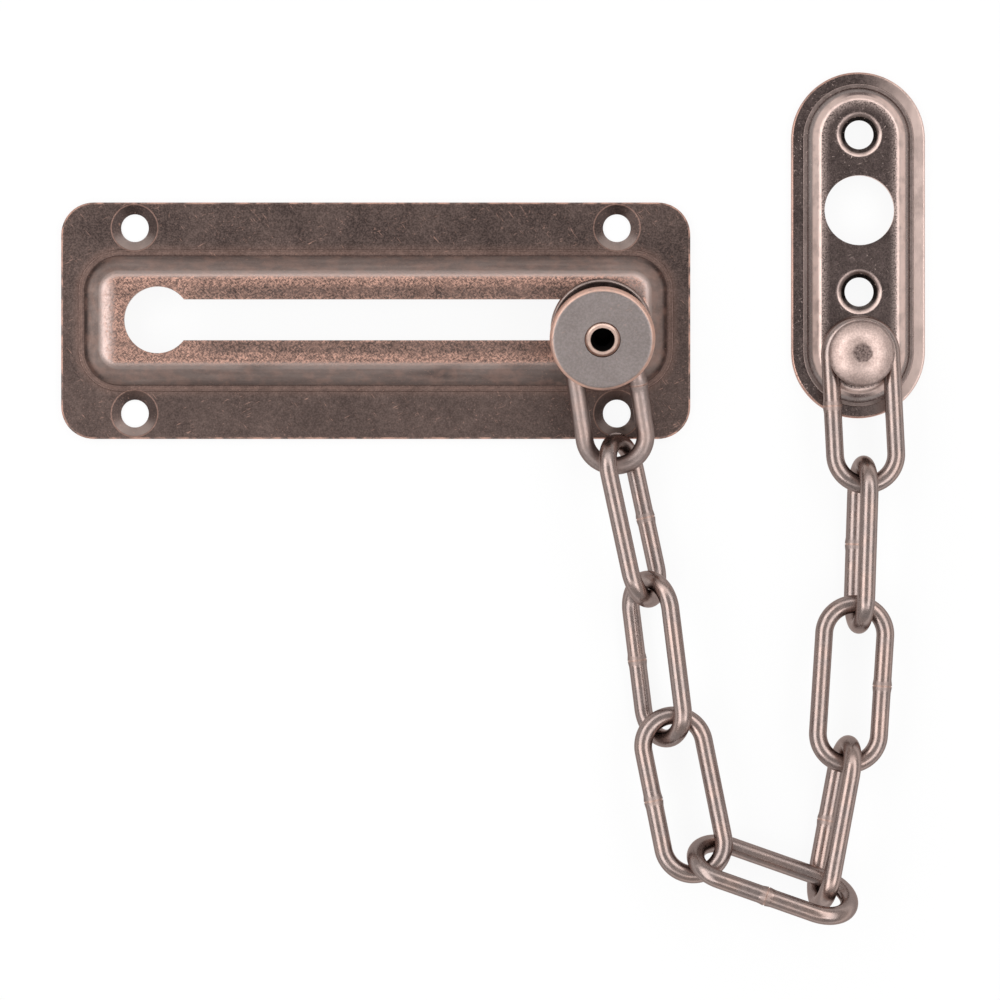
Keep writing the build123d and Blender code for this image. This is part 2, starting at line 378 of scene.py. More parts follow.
@dataclass(frozen=True)
class Patina:
    """Copper plate, darkened and rubbed back: dark in the flats, bright copper where it is worn.

    Pairs of heights, distances and parts of the normal are soft steps. Shares run from 0 to 1.
    """

    name: str
    dark: Colour
    mid: Colour
    copper: Colour
    cloud: float = 8 * MM
    cloud_share: float = 0.34
    grain: float = 0.32 * MM
    grain_share: float = 0.62
    specks: float = 0.5
    speck_size: float = 1.3
    speck_patch: Blots = Blots(14 * MM, 2.0, 0.38, 0.62, (0.25, 1.0))
    scratches: float = 0.4
    scratch_turns: Pair = (-52.0, 24.0)
    scratch_line: Blots = Blots(0.24 * MM, 1.0, 0.66, 0.76, lay=Lay.LINE)
    scratch_place: Blots = Blots(3.0 * MM, 1.0, 0.52, 0.62)
    smooth: float = 0.30
    rough: float = 0.44
    rough_size: float = 1.1 * MM
    worn_rough: float = -0.06
    relief: float = 0.2
    relief_depth: float = 0.05 * MM
    relief_size: float = 0.5 * MM

    def material(self, piece: bpy.types.Object, guide: bpy.types.Object | None = None) -> bpy.types.Material:
        """Makes the material with its nodes.

        Args:
            piece: the piece that it dresses.
            guide: the piece whose box says where its marks lie, where that is another one.

        Returns:
            The material.
        """
        made = bpy.data.materials.new(self.name)
        made.use_nodes = True
        graph = Graph(made.node_tree)
        surface = Surface(graph, piece, guide or piece)
        bare = self.bare(graph, surface)
        shader = graph.node("ShaderNodeBsdfPrincipled")
        shader.inputs["Metallic"].default_value = 1.0
        # At a flat angle the metal is seen halfway between its copper and white.
        shader.inputs["Specular Tint"].default_value = (*(0.5 + c / 2 for c in self.copper), 1.0)
        graph.link(graph.mix(bare, self.ground(graph, surface), self.copper), shader.inputs["Base Color"])
        graph.link(self.gloss(graph, surface, bare), shader.inputs["Roughness"])
        graph.link(self.uneven(graph, surface), shader.inputs["Normal"])
        output = graph.node("ShaderNodeOutputMaterial")
        graph.link(shader.outputs["BSDF"], output.inputs["Surface"])
        return made

    def ground(self, graph: Graph, surface: Surface) -> Socket:
        """The darkened plate: soft clouds with a fine speckle over them.

        Args:
            graph: the tree.
            surface: the piece's surface.

        Returns:
            The colour.
        """
        clouds = Blots(size=self.cloud, detail=5.0, low=0.34, high=0.66, ends=(0.0, self.cloud_share))
        speckle = Blots(size=self.grain, detail=2.0, low=0.36, high=0.66, ends=(0.0, self.grain_share))
        share = graph.number(Sum.ADD, surface.blots(clouds), surface.blots(speckle), held=True)
        return graph.mix(share, self.dark, self.mid)

    def bare(self, graph: Graph, surface: Surface) -> Socket:
        """Where copper shows through: specks and a few short scratches.

        Args:
            graph: the tree.
            surface: the piece's surface.

        Returns:
            The share of bare copper.
        """
        dots = Blots(size=self.grain * self.speck_size, detail=2.0, low=0.63, high=0.74)
        shares = [graph.times(surface.blots(dots), surface.blots(self.speck_patch), self.specks)]
        for turn in self.scratch_turns:
            line = surface.blots(replace(self.scratch_line, turn=turn))
            place = surface.blots(replace(self.scratch_place, turn=turn))
            shares.append(graph.times(line, place, self.scratches))
        return graph.most(*shares)

    def gloss(self, graph: Graph, surface: Surface, bare: Socket) -> Socket:
        """The roughness, which the bare copper has its own share in.

        Args:
            graph: the tree.
            surface: the piece's surface.
            bare: the share of bare copper.

        Returns:
            The roughness.
        """
        plate = Blots(size=self.rough_size, detail=3.0, low=0.3, high=0.7, ends=(self.smooth, self.rough))
        worn = graph.number(Sum.TIMES, bare, self.worn_rough)
        return graph.number(Sum.ADD, surface.blots(plate), worn, held=True)

    def uneven(self, graph: Graph, surface: Surface) -> Socket:
        """Fine unevenness of the plated metal.

        Args:
            graph: the tree.
            surface: the piece's surface.

        Returns:
            The normal.
        """
        bump = graph.node("ShaderNodeBump")
        bump.inputs["Strength"].default_value = self.relief
        bump.inputs["Distance"].default_value = self.relief_depth
        graph.link(graph.noise(surface.place, self.relief_size), bump.inputs["Height"])
        return bump.outputs["Normal"]


@dataclass(frozen=True)
class TrackPatina(Patina):
    """The track plate: dark rim with a copper edge, grey walls and a mottled copper crest."""

    wall: Colour = (0.36, 0.285, 0.258)
    streaks: Blots = Blots(1.6 * MM, 4.0, 0.3, 0.7, (0.6, 1.0), Lay.LINE)
    tint: Blots = Blots(2.6 * MM, 4.0, 0.42, 0.68, (0.0, 0.22))
    foot: Pair = (1.84 * MM, 2.1 * MM)
    # Painted shade at the walls' foot, strongest on the walls at the ends.
    recess: Band = (1.84 * MM, 2.3 * MM, 0.9 * MM)
    recess_share: Pair = (0.2, 0.9)
    end_wall: Pair = (0.15, 0.6)
    lower_wall: Pair = (-0.2, -0.5)
    smudges: Blots = Blots(10 * MM, 2.0, 0.54, 0.70, (0.0, 0.6), Lay.HAIR)
    corner: float = 6.2 * MM
    edge: Pair = (-0.42 * MM, -0.168 * MM)
    edge_share: float = 0.85
    edge_wear: Blots = Blots(2.2 * MM, 4.0, 0.36, 0.62, (0.05, 1.0))
    rim_top: Pair = (2.0 * MM, 1.82 * MM)
    # The rim is painted lighter towards -Y, a painted reflection.
    rim_fade: Pair = (14 * MM, -16 * MM)
    rim_fade_share: float = 0.28
    channel_corner: float = 7.2 * MM
    channel_inset: Pair = (4.1 * MM, 9.85 * MM)
    rubbed: Band = (0.0, 0.6 * MM, 1.7 * MM)
    rubbed_share: float = 0.12
    coined: Band = (0.12 * MM, 0.26 * MM, 0.16 * MM)
    coined_share: float = 0.2
    holes: Pair = (46.0 * MM, 17.7 * MM)
    sink: Pair = (4.4 * MM, 4.2 * MM)
    sink_ring: Band = (4.4 * MM, 4.5 * MM, 0.12 * MM)
    ring_share: float = 0.3
    lit: Pair = (0.1, 0.5)
    unlit: Pair = (0.3, -0.1)
    unlit_share: float = 0.6
    crest: Pair = (5.05 * MM, 5.85 * MM)
    soft: Blots = Blots(3.2 * MM, 3.0, 0.35, 0.62, (0.75, 1.0))
    hairs: Blots = Blots(0.26 * MM, 3.0, 0.42, 0.62, (0.08, 1.0), Lay.HAIR)
    hair_turns: Pair = (38.0, -47.0)
    pits: Blots = Blots(0.42 * MM, 3.0, 0.36, 0.56)
    pit_share: Pair = (0.35, 1.0)
    # The shoulders are painted pale as a sheen, a painted highlight.
    rolled: Pair = (0.985, 0.90)
    shoulder: Pair = (4.9 * MM, 5.3 * MM)
    shoulder_share: float = 0.65
    pale: Colour = (0.46, 0.37, 0.34)
    keyhole: tuple[float, float, float] = (-41.3 * MM, 0.0, 6.35 * MM)
    slot_half: float = 3.9 * MM
    slot_start: Pair = (-36 * MM, -31 * MM)
    beside: Band = (0.7 * MM, 1.9 * MM, 1.0 * MM)
    beside_share: float = 0.95
    beside_pits: Pair = (1.0, 0.5)
    # The ends of the crest are painted pale as a highlight.
    glint: Colour = (0.71, 0.565, 0.525)
    glint_rough: float = 0.14
    glint_share: float = 0.8
    glint_end: Pair = (-48.8 * MM, -50.8 * MM)
    glint_half: Pair = (8.6 * MM, 6.0 * MM)
    glint_corner: tuple[Pair, Pair] = ((46.0 * MM, 49.0 * MM), (3.0 * MM, 6.0 * MM))
    glint_corner_share: float = 0.45
    glint_fray: Blots = Blots(0.5 * MM, 3.0, 0.32, 0.6, (0.45, 1.0))

    def ground(self, graph: Graph, surface: Surface) -> Socket:
        """The rim's dark plate, with the smoother and greyer walls above their foot, and painted light and
        shade: a rim lighter towards -Y, pale shoulders and crest ends as highlights, shade at the walls'
        foot, and shade and a highlight in the countersinks.

        Args:
            graph: the tree.
            surface: the piece's surface.

        Returns:
            The colour.
        """
        flat = super().ground(graph, surface)
        # Painted reflection: the rim lighter towards -Y.
        flat = graph.mix(graph.span(surface.y, *self.rim_fade, (0.0, self.rim_fade_share)), flat, self.mid)
        above = graph.span(surface.z, *self.foot)
        below = graph.span(surface.z, self.crest[1], self.crest[0])
        colour = graph.mix(graph.times(above, below, surface.blots(self.streaks)), flat, self.wall)
        # Painted highlight: a pale sheen on the shoulders.
        colour = graph.mix(self._shoulder(graph, surface), colour, self.pale)
        # Painted highlight: the pale glint at the crest's ends.
        colour = graph.mix(self._glint(graph, surface), colour, self.glint)
        # Painted shade in the recess at the walls' foot, strongest where the wall faces +X or -X.
        ends = graph.span(graph.number(Sum.SIZE, surface.aside), *self.end_wall, self.recess_share)
        foot_shade = graph.times(graph.band(surface.z, *self.recess), above, ends)
        lower = graph.span(surface.ahead, *self.lower_wall)
        smudge = graph.times(surface.blots(self.smudges), above, lower)
        sunk = graph.times(graph.span(self._from_hole(graph, surface), *self.sink), surface.front)
        colour = graph.mix(graph.times(sunk, graph.span(surface.ahead, *self.lit)), colour, self.wall)
        shaded = graph.times(sunk, graph.span(surface.ahead, *self.unlit), self.unlit_share)
        return graph.mix(graph.most(foot_shade, shaded, smudge), colour, self.dark)

    def gloss(self, graph: Graph, surface: Surface, bare: Socket) -> Socket:
        """The roughness: duller under the painted highlight at the ends of the crest.

        Args:
            graph: the tree.
            surface: the piece's surface.
            bare: the share of bare copper.

        Returns:
            The roughness.
        """
        dull = graph.times(self._glint(graph, surface), self.glint_rough)
        return graph.number(Sum.ADD, super().gloss(graph, surface, bare), dull, held=True)

    def bare(self, graph: Graph, surface: Surface) -> Socket:
        """Copper on the outer edge, on the crest, around the channel and around the fixing holes.

        Args:
            graph: the tree.
            surface: the piece's surface.

        Returns:
            The share of bare copper.
        """
        marks = super().bare(graph, surface)
        edge = graph.span(surface.outline(self.corner), *self.edge)
        edge = graph.times(edge, surface.blots(self.edge_wear), self.edge_share)
        soft = surface.blots(self.soft)
        low = graph.times(graph.span(surface.z, *self.rim_top), surface.front)
        outside = surface.outline(self.channel_corner, self.channel_inset)
        rubbed = graph.times(graph.band(outside, *self.rubbed), soft, low, self.rubbed_share)
        line = graph.times(graph.band(outside, *self.coined), soft, low, self.coined_share)
        ring = graph.band(self._from_hole(graph, surface), *self.sink_ring)
        ring = graph.times(ring, low, self.ring_share)
        tint = graph.times(surface.blots(self.tint), graph.span(surface.z, *self.foot))
        return graph.most(marks, edge, rubbed, line, ring, self._mottled(graph, surface, soft), tint)

    def _mottled(self, graph: Graph, surface: Surface, soft: Socket) -> Socket:
        """Copper on the crest: fine crossed hairs with pits, thinner beside the slot.

        Args:
            graph: the tree.
            surface: the piece's surface.
            soft: the share that large patches leave.

        Returns:
            The share of bare copper.
        """
        raised = graph.span(surface.z, *self.crest)
        hairs = [surface.blots(replace(self.hairs, turn=turn)) for turn in self.hair_turns]
        pitted = surface.blots(self.pits)
        fine = graph.times(graph.most(*hairs), graph.span(pitted, 0.0, 1.0, self.pit_share))
        slot = graph.span(surface.x, *self.slot_start)
        beside = graph.times(graph.band(self._from_slot(graph, surface), *self.beside), slot)
        spared = graph.span(pitted, 0.0, 1.0, self.beside_pits)
        thin = graph.rest(graph.times(beside, spared, self.beside_share))
        # Less copper under the painted sheen on the shoulders and under the painted glint.
        flat_top = graph.rest(graph.times(self._shoulder(graph, surface), self.shoulder_share))
        pale = graph.rest(graph.times(self._glint(graph, surface), self.glint_share))
        return graph.times(raised, fine, soft, thin, flat_top, pale)

    def _glint(self, graph: Graph, surface: Surface) -> Socket:
        """Where a pale highlight is painted on the crest: its keyhole end and the upper corner of the other
        end.

        Args:
            graph: the tree.
            surface: the piece's surface.

        Returns:
            The share of pale metal.
        """
        half = graph.span(graph.number(Sum.SIZE, surface.y), *self.glint_half)
        end = graph.times(graph.span(surface.x, *self.glint_end), half)
        along, across = self.glint_corner
        corner = graph.times(graph.span(surface.x, *along), graph.span(surface.y, *across))
        corner = graph.times(corner, self.glint_corner_share)
        frayed = surface.blots(self.glint_fray)
        return graph.times(graph.most(end, corner), frayed, graph.span(surface.z, *self.crest))

    def _shoulder(self, graph: Graph, surface: Surface) -> Socket:
        """Where the crest rolls over into the walls."""
        return graph.times(graph.span(surface.up, *self.rolled), graph.span(surface.z, *self.shoulder))

    def _from_hole(self, graph: Graph, surface: Surface) -> Socket:
        """How far a point lies from the middle of the nearest fixing hole.

        Args:
            graph: the tree.
            surface: the piece's surface.

        Returns:
            The distance.
        """
        folded = graph.vector(Sum.SIZE, graph.vector(Sum.TIMES, surface.place, LEVEL))
        return graph.vector(Sum.LENGTH, graph.vector(Sum.LESS, folded, (*self.holes, 0.0)))

    def _from_slot(self, graph: Graph, surface: Surface) -> Socket:
        """How far a point of the crest lies from the edge of the keyhole slot.

        Args:
            graph: the tree.
            surface: the piece's surface.

        Returns:
            The distance.
        """
        hole_x, hole_y, hole_radius = self.keyhole
        ring = surface.from_axis(Vector((hole_x, hole_y, 0.0)), OUTWARD)
        ring = graph.number(Sum.LESS, ring, hole_radius)
        side = graph.number(Sum.LESS, graph.number(Sum.SIZE, surface.y), self.slot_half)
        short = graph.number(Sum.MOST, graph.number(Sum.LESS, hole_x, surface.x), 0.0)
        return graph.number(Sum.LEAST, graph.number(Sum.ADD, side, short), ring)


@dataclass(frozen=True)
class KeeperPatina(Patina):
    """The keeper plate: dark flats, grey walls, bright shoulders and lips that are partly painted highlight,
    dark sinks that are painted shade, a copper edge and a right-hand rim painted pale as a reflection.
    """

    wall: Colour = (0.30, 0.25, 0.235)
    flank: Band = (2.45 * MM, 2.7 * MM, 0.45 * MM)
    rim: Colour = (0.60, 0.36, 0.29)
    edge: Pair = (-0.5 * MM, -0.15 * MM)
    edge_share: float = 0.9
    edge_wear: Blots = Blots(2.6 * MM, 3.0, 0.32, 0.58, (0.6, 1.0))
    # The right-hand rim is painted pale as a reflection.
    right: Pair = (-1 * MM, 12 * MM)
    right_share: float = 0.84
    right_top: Pair = (1.56 * MM, 1.50 * MM)
    right_reflection_blots: Blots = Blots(6 * MM, 3.0, 0.34, 0.56, (0.82, 1.0))
    step: Band = (1.76 * MM, 1.84 * MM, 0.05 * MM)
    step_share: float = 0.25
    # Shoulders and lips: worn copper painted brighter and wider as a highlight, reaching furthest down the
    # walls that face +X or -X.
    turned: Pair = (0.992, 0.955)
    sideways: Pair = (0.1, 0.4)
    wide: Pair = (2.7 * MM, 3.2 * MM)
    narrow: Pair = (3.5 * MM, 3.9 * MM)
    shoulder_wear_and_sheen: Blots = Blots(2.6 * MM, 3.0, 0.32, 0.58, (0.7, 1.0))
    face: Pair = (4.2 * MM, 4.4 * MM)
    fade: Pair = (-7.4 * MM, -5.2 * MM)
    fade_share: float = 0.8
    fade_speckle: Blots = Blots(0.3 * MM, 2.0, 0.38, 0.60, (0.12, 1.0))
    holes: Pair = (20.9 * MM, -9.0 * MM)
    # The dished holes are painted dark as shade, lighter where their slope faces +Y as a painted highlight.
    sink: Colour = (0.03, 0.026, 0.025)
    sink_radius: Pair = (3.3 * MM, 3.8 * MM)
    lit: Pair = (0.2, 0.6)
    lit_share: float = 0.8
    # Painted shade on the side of the lips that faces -Y.
    lip: Pair = (5.2 * MM, 5.8 * MM)
    unlit: Pair = (0.12, -0.12)
    unlit_share: float = 0.75

    def ground(self, graph: Graph, surface: Surface) -> Socket:
        """Dark speckled flats, with greyer walls, a copper edge and dished holes painted dark as shade,
        lighter where their slope faces +Y as a painted highlight.

        Args:
            graph: the tree.
            surface: the piece's surface.

        Returns:
            The colour.
        """
        flat = super().ground(graph, surface)
        colour = graph.mix(graph.band(surface.z, *self.flank), flat, self.wall)
        # Painted shade in the dished holes, with a painted highlight where their slope faces +Y.
        hollow = graph.mix(graph.span(surface.ahead, *self.lit, (0.0, self.lit_share)), self.sink, self.wall)
        colour = graph.mix(self._around(graph, surface, self.sink_radius), colour, hollow)
        edge = graph.span(self._inside(surface), *self.edge)
        edge = graph.times(edge, surface.blots(self.edge_wear), self.edge_share)
        return graph.mix(edge, colour, self.rim)

    def bare(self, graph: Graph, surface: Surface) -> Socket:
        """Copper on the step, the shoulders, the lips of the holes and the right-hand rim; on the shoulders
        and lips it is worn copper painted brighter and wider as a highlight and kept off their painted
        shade, and on the right-hand rim it is a painted reflection.

        Args:
            graph: the tree.
            surface: the piece's surface.

        Returns:
            The share of bare copper.
        """
        marks = super().bare(graph, surface)
        step = graph.times(graph.band(surface.z, *self.step), self.step_share)
        # Worn copper painted brighter and wider as a highlight on the shoulders and lips, kept off the
        # painted shade.
        turned = graph.span(surface.up, *self.turned)
        sides = graph.span(graph.number(Sum.SIZE, surface.aside), *self.sideways)
        sides = graph.times(graph.span(surface.z, *self.wide), sides)
        narrow = graph.span(surface.z, *self.narrow)
        sunk = self._around(graph, surface, self.sink_radius)
        lip_shade = graph.times(self._around(graph, surface, self.lip), graph.span(surface.ahead, *self.unlit))
        unshaded = graph.rest(graph.most(sunk, graph.times(lip_shade, self.unlit_share)))
        worn = surface.blots(self.shoulder_wear_and_sheen)
        shoulder = graph.times(turned, graph.most(sides, narrow), worn, unshaded)
        inward = graph.span(self._inside(surface), *self.fade, (0.0, self.fade_share))
        faded = graph.times(inward, surface.blots(self.fade_speckle), graph.span(surface.z, *self.face))
        # Painted reflection: the right-hand rim pale.
        reach = [surface.middle.x + offset for offset in self.right]
        right = graph.span(surface.x, *reach, (0.0, self.right_share))
        right = graph.times(right, surface.blots(self.right_reflection_blots))
        right = graph.times(right, graph.span(surface.z, *self.right_top), surface.front)
        return graph.most(marks, step, shoulder, faded, right)

    def _inside(self, surface: Surface) -> Socket:
        """How far a point lies from the plate's round-ended outline, negative inside."""
        return surface.outline((surface.high.x - surface.low.x) / 2)

    def _around(self, graph: Graph, surface: Surface, radii: Pair) -> Socket:
        """Where a point lies around the middle of a fixing hole.

        Args:
            graph: the tree.
            surface: the piece's surface.
            radii: the radius within which the share is 1, and the one where it has faded.

        Returns:
            The share.
        """
        sinks = []
        for offset in self.holes:
            ring = surface.from_axis(surface.middle + Vector((0.0, offset, 0.0)), OUTWARD)
            sinks.append(graph.span(ring, radii[1], radii[0]))
        return graph.times(graph.most(*sinks), surface.front)


@dataclass(frozen=True)
class DiscPatina(Patina):
    """The button's disc: a plain satin face with a bright copper rim."""

    tilt: float = 15.0
    rim_width: Pair = (0.78 * MM, 0.5 * MM)
    rim_wear: Blots = Blots(1.5 * MM, 3.0, 0.32, 0.6, (0.7, 1.0))

    def axis(self) -> Vector:
        """The way that the button leans out of the plate."""
        lean = math.radians(self.tilt)
        return Vector((0.0, -math.sin(lean), math.cos(lean)))

    def bare(self, graph: Graph, surface: Surface) -> Socket:
        """Copper along the rounded rim.

        Args:
            graph: the tree.
            surface: the piece's surface.

        Returns:
            The share of bare copper.
        """
        marks = super().bare(graph, surface)
        ring = surface.from_axis(surface.middle, self.axis())
        radius = (surface.high.x - surface.low.x) / 2
        rim = graph.span(ring, radius - self.rim_width[0], radius - self.rim_width[1])
        return graph.most(marks, graph.times(rim, surface.blots(self.rim_wear)))


@dataclass(frozen=True)
class RivetPatina(DiscPatina):
    """The hollow rivet: a bright copper lip around a bore painted black as shade."""

    # Near-black painted shade inside the bore.
    bore_shade: Colour = (0.012, 0.010, 0.010)
    mouth: Pair = (2.36 * MM, 2.16 * MM)
    rim_wear: Blots = Blots(1.2 * MM, 3.0, 0.3, 0.6, (0.7, 1.0))

    def ground(self, graph: Graph, surface: Surface) -> Socket:
        """The plate, painted black inside the mouth of the bore as shade.

        Args:
            graph: the tree.
            surface: the piece's surface.

        Returns:
            The colour.
        """
        ring = surface.from_axis(surface.middle, self.axis())
        return graph.mix(graph.span(ring, *self.mouth), super().ground(graph, surface), self.bore_shade)

    def bare(self, graph: Graph, surface: Surface) -> Socket:
        """Copper on the rolled lip only.

        Args:
            graph: the tree.
            surface: the piece's surface.

        Returns:
            The share of bare copper.
        """
        ring = surface.from_axis(surface.middle, self.axis())
        lip = graph.span(ring, self.mouth[1], self.mouth[0])
        return graph.times(lip, surface.blots(self.rim_wear))


@dataclass(frozen=True)
class WirePatina(Patina):
    """A link's wire: satin, warmer in patches, with a copper line where the ends meet and painted shade on
    its sides.
    """

    # Painted shade on the steep sides of the wire, where less copper shows.
    side: Colour = (0.17, 0.13, 0.12)
    side_share: float = 0.7
    steep: Pair = (0.74, 0.50)
    warmth: float = 0.4
    warm_patch: Blots = Blots(5 * MM, 3.0, 0.36, 0.66, (0.1, 1.0))
    shaded_side_copper: float = 0.15
    joint_reach: float = 2.5 * MM
    dull_half: Pair = (1.1 * MM, 0.6 * MM)
    dull_radius: Pair = (2.9 * MM, 2.4 * MM)
    dull_rough: float = 0.16
    line_half: Pair = (0.26 * MM, 0.12 * MM)
    line_radius: Pair = (2.6 * MM, 2.2 * MM)
    line_share: float = 0.7

    def ground(self, graph: Graph, surface: Surface) -> Socket:
        """The plate, darker on the sides of the wire as painted shade.

        Args:
            graph: the tree.
            surface: the piece's surface.

        Returns:
            The colour.
        """
        level = graph.number(Sum.SIZE, surface.up)
        steep = graph.span(level, *self.steep, (0.0, self.side_share))
        return graph.mix(steep, super().ground(graph, surface), self.side)

    def gloss(self, graph: Graph, surface: Surface, bare: Socket) -> Socket:
        """The roughness: duller where the ends of the wire were joined.

        Args:
            graph: the tree.
            surface: the piece's surface.
            bare: the share of bare copper.

        Returns:
            The roughness.
        """
        dull = self._joint(graph, surface, self.dull_half, self.dull_radius)
        dull = graph.times(dull, self.dull_rough)
        return graph.number(Sum.ADD, super().gloss(graph, surface, bare), dull, held=True)

    def bare(self, graph: Graph, surface: Surface) -> Socket:
        """Warm patches, a few marks and the line of the joint.

        Args:
            graph: the tree.
            surface: the piece's surface.

        Returns:
            The share of bare copper.
        """
        marks = super().bare(graph, surface)
        warm = graph.times(surface.blots(self.warm_patch), self.warmth)
        # Less copper on the steep sides, under their painted shade.
        level = graph.number(Sum.SIZE, surface.up)
        shown = graph.span(level, self.steep[1], self.steep[0], (self.shaded_side_copper, 1.0))
        line = self._joint(graph, surface, self.line_half, self.line_radius)
        line = graph.times(line, self.line_share)
        return graph.most(graph.times(graph.most(marks, warm), shown), line)

    def _joint(self, graph: Graph, surface: Surface, half: Pair, radius: Pair) -> Socket:
        """Where a point lies near the joint of the wire.

        Args:
            graph: the tree.
            surface: the piece's surface.
            half: how far along the wire the share has faded, and how far it is still 1.
            radius: the same for the distance from the middle of the joint.

        Returns:
            The share.
        """
        point, way = self.seam(surface.piece)
        near = graph.vector(Sum.LENGTH, graph.vector(Sum.LESS, surface.place, tuple(point)))
        return graph.times(graph.span(surface.along(point, way), *half), graph.span(near, *radius))

    def seam(self, piece: bpy.types.Object) -> tuple[Vector, Vector]:
        """Finds the joint in a link: its flat ends are many faces with one normal, close together.

        Args:
            piece: the link.

        Returns:
            The middle of the joint and the way that the wire runs there.
        """
        flats: dict[tuple[float, ...], list[Vector]] = defaultdict(list)
        for face in piece.data.polygons:
            way = face.normal if max(face.normal, key=abs) > 0 else -face.normal
            flats[tuple(round(c, 3) for c in way)].append(face.center.copy())
        found: list[tuple[int, Vector, Vector]] = []
        for way, spots in flats.items():
            centre = sum(spots, Vector()) / len(spots)
            if max((spot - centre).length for spot in spots) < self.joint_reach:
                found.append((len(spots), centre, Vector(way).normalized()))
        _, centre, way = max(found, key=lambda item: item[0])
        return centre, way


@dataclass(frozen=True)
class StudPatina(Patina):
    """The stud: pale copper dome, blotched, with a dark hammered tip."""

    tip: Colour = (0.13, 0.092, 0.085)
    tip_radius: Pair = (1.5 * MM, 2.05 * MM)
    rim_radius: Pair = (5.6 * MM, 6.1 * MM)
    rim_share: float = 0.6
    fray: float = 0.9 * MM
    pits: Blots = Blots(0.34 * MM, 3.0, 0.36, 0.58, (1.0, 0.55))

    def ground(self, graph: Graph, surface: Surface) -> Socket:
        """The blotched dome, the dark tip and the dark rim.

        Args:
            graph: the tree.
            surface: the piece's surface.

        Returns:
            The colour.
        """
        ring = surface.from_axis(surface.middle, OUTWARD)
        frayed = graph.number(Sum.TIMES, graph.noise(surface.place, self.fray), self.fray)
        ragged = graph.number(Sum.ADD, ring, graph.number(Sum.LESS, frayed, self.fray / 2))
        dark = graph.span(ragged, self.tip_radius[1], self.tip_radius[0])
        dark = graph.times(dark, surface.blots(self.pits))
        rim = graph.span(ragged, *self.rim_radius, (0.0, self.rim_share))
        return graph.mix(graph.most(dark, rim), super().ground(graph, surface), self.tip)


TRACK = TrackPatina(
    name="track_antique_copper",
    dark=(0.072, 0.052, 0.048),
    mid=(0.200, 0.142, 0.125),
    copper=(0.73, 0.43, 0.338),
    specks=0.4,
    scratches=0.45,
    smooth=0.36,
    rough=0.48,
    worn_rough=0.05,
    relief=0.3,
)
FLANGE = DiscPatina(
    name="flange_dark_copper",
    dark=(0.085, 0.064, 0.058),
    mid=(0.15, 0.112, 0.10),
    copper=(0.40, 0.31, 0.28),
    specks=0.6,
    scratches=0.1,
    rim_width=(0.62 * MM, 0.42 * MM),
)
DISC = DiscPatina(
    name="disc_satin_copper",
    dark=(0.265, 0.226, 0.216),
    mid=(0.350, 0.302, 0.290),
    copper=(0.68, 0.44, 0.355),
    cloud=5 * MM,
    grain=0.45 * MM,
    specks=0.3,
    scratches=0.2,
    worn_rough=0.06,
    smooth=0.40,
    rough=0.47,
    relief=0.12,
)
RIVET = RivetPatina(
    name="rivet_bright_copper",
    dark=(0.30, 0.22, 0.19),
    mid=(0.36, 0.27, 0.24),
    copper=(0.74, 0.53, 0.445),
    smooth=0.34,
    rough=0.42,
    relief=0.1,
)
WIRE = WirePatina(
    name="wire_satin_copper",
    dark=(0.322, 0.257, 0.240),
    mid=(0.398, 0.322, 0.299),
    copper=(0.58, 0.395, 0.33),
    cloud=11 * MM,
    grain=0.5 * MM,
    specks=0.15,
    scratches=0.2,
    smooth=0.24,
    rough=0.33,
    relief=0.05,
)
DULL_WIRE = replace(WIRE, name="wire_dull_copper", smooth=0.38, rough=0.48)
KEEPER = KeeperPatina(
    name="keeper_polished_copper",
    dark=(0.095, 0.070, 0.066),
    mid=(0.235, 0.176, 0.162),
    copper=(0.80, 0.62, 0.56),
    specks=0.75,
    scratches=0.4,
    smooth=0.22,
    rough=0.32,
    worn_rough=0.20,
    relief=0.2,
)
STUD = StudPatina(
    name="stud_pale_copper",
    dark=(0.48, 0.35, 0.312),
    mid=(0.74, 0.575, 0.52),
    copper=(0.84, 0.68, 0.61),
    cloud=4 * MM,
    specks=0.3,
    scratches=0.2,
    smooth=0.38,
    rough=0.50,
    relief=0.2,
)


def dress(piece: bpy.types.Object, finish: bpy.types.Material) -> None:
    """Gives a CAD node its finish.

    Args:
        piece: the node's object.
        finish: the material.
    """
    piece.data.materials.clear()
    piece.data.materials.append(finish)


@dataclass
class TrackPlate:
    """The stamped plate with the keyhole slot."""

    node: str = "track_plate"
    finish: TrackPatina = TRACK

    def build(self, nodes: dict[str, bpy.types.Object]) -> list[str]:
        """Dresses the plate.

        Args:
            nodes: the CAD nodes by name.

        Returns:
            The names of its pieces.
        """
        dress(nodes[self.node], self.finish.material(nodes[self.node]))
        return [self.node]


@dataclass
class Button:
    """The button: flange, sleeve, disc and hollow rivet, all around the axis of the disc."""

    guide: str = "button_disc"
    finishes: dict[str, Patina] = field(
        default_factory=lambda: {
            "button_flange": FLANGE,
            "button_sleeve": FLANGE,
            "button_disc": DISC,
            "button_rivet": RIVET,
        }
    )

    def build(self, nodes: dict[str, bpy.types.Object]) -> list[str]:
        """Dresses the button.

        Args:
            nodes: the CAD nodes by name.

        Returns:
            The names of its pieces.
        """
        for name, finish in self.finishes.items():
            dress(nodes[name], finish.material(nodes[name], nodes[self.guide]))
        return list(self.finishes)


